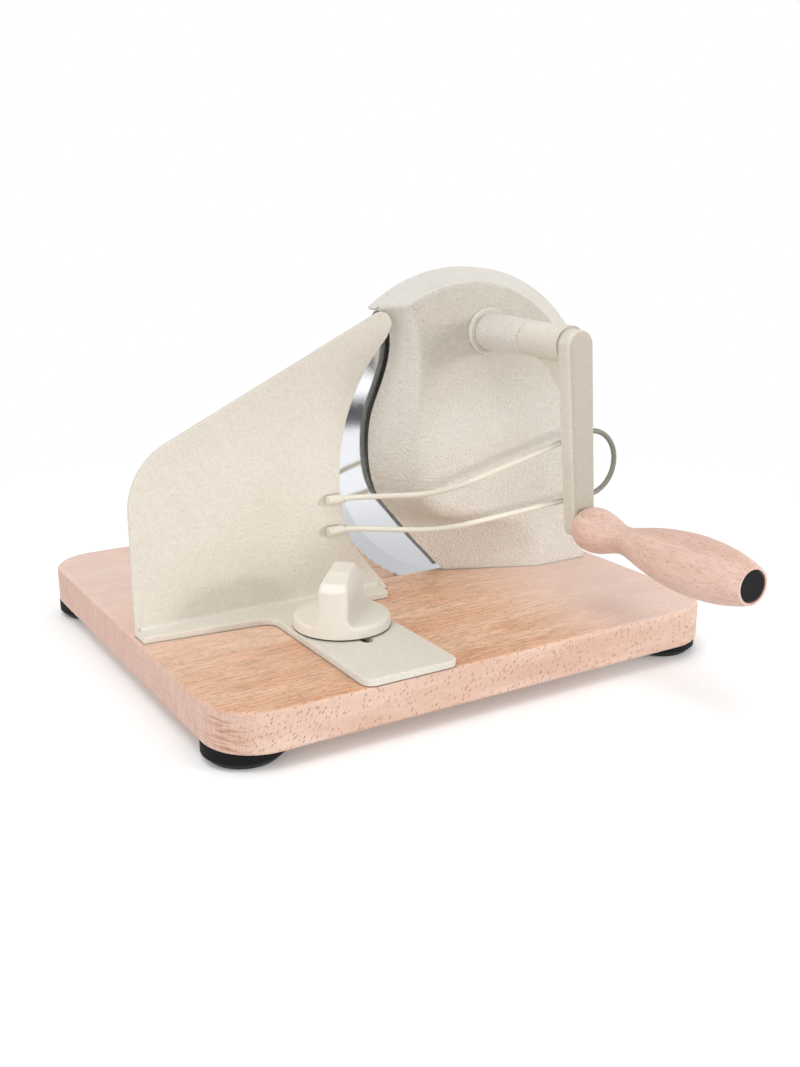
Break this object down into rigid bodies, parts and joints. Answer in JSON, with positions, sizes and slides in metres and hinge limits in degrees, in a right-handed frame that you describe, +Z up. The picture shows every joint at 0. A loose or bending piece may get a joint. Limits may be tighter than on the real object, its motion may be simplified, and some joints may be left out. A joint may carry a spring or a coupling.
{
  "type": "hand cranked food slicer",
  "caption": "Free-standing manual slicer: round wave edged blade in a cast cover on a wooden board, hand crank with turned grip, sliding stop plate with clamp knob and guard wire.",
  "frame": {"origin": "on the table under the middle of the whole slicer, its stop plate and crank at rest", "axes": "+X along the board's front edge towards the blade cover, +Y from the crank handle to the back, +Z up"},
  "size_m": [0.3154, 0.3786, 0.214],
  "materials": {
    "board": "oiled beech, satin",
    "grip": "turned beech, satin",
    "casting": "fine textured cream enamel",
    "knob": "smooth cream, low gloss",
    "wire": "cream coated steel wire",
    "blade": "polished stainless steel",
    "steel": "turned steel",
    "screw": "zinc plated",
    "brass": "machined",
    "hub": "moulded, matt",
    "gear": "moulded acetal",
    "foot": "matt black rubber",
    "cap": "black, satin",
    "washer": "dark fibre"
  },
  "bodies": {
    "base": {"base_board": "board", "foot_front_left": "foot", "foot_front_right": "foot", "foot_rear_left": "foot", "foot_rear_right": "foot", "foot_screws": "screw", "clamp_bolt": "steel", "gear_cover": "casting", "cover_screws": "screw", "blade_axle": "steel", "axle_screw": "screw", "crank_bush_front": "brass", "crank_bush_rear": "brass"},
    "stop_plate": {"stop_plate": "casting", "guard_wire": "wire"},
    "clamp_knob": {"clamp_knob": "knob", "knob_insert": "brass", "knob_washer": "washer"},
    "crank": {"crank_arm": "casting", "crank_shaft": "steel", "drive_pinion": "steel", "pinion_clip": "steel", "handle_bolt": "steel"},
    "handle": {"handle_grip": "grip", "handle_cap": "cap"},
    "blade": {"blade": "blade", "blade_hub": "hub", "blade_gear": "gear", "hub_bush": "brass", "blade_screws": "screw"}
  },
  "joints": [
    {"name": "crank_turn", "type": "hinge", "parent": "base", "child": "crank", "pos_m": [0.05925, -0.04875, 0.1795], "axis": [0, 1, 0], "continuous": true},
    {"name": "handle_spin", "type": "hinge", "parent": "crank", "child": "handle", "pos_m": [0.06694, -0.09575, 0.0818], "axis": [0, 1, 0], "continuous": true},
    {"name": "blade_turn", "type": "hinge", "parent": "base", "child": "blade", "pos_m": [0.05925, 0.04325, 0.1155], "axis": [0, 1, 0], "continuous": true},
    {"name": "plate_slide", "type": "slide", "parent": "base", "child": "stop_plate", "axis": [0, -1, 0], "range_m": [-0.015, 0.005]},
    {"name": "knob_turn", "type": "hinge", "parent": "base", "child": "clamp_knob", "pos_m": [-0.05825, -0.02315, 0.05], "axis": [0, 0, 1], "range_deg": [0, 180]}
  ],
  "couplings": [
    {"joint": "blade_turn", "follows": "crank_turn", "ratio": -0.45455}
  ]
}
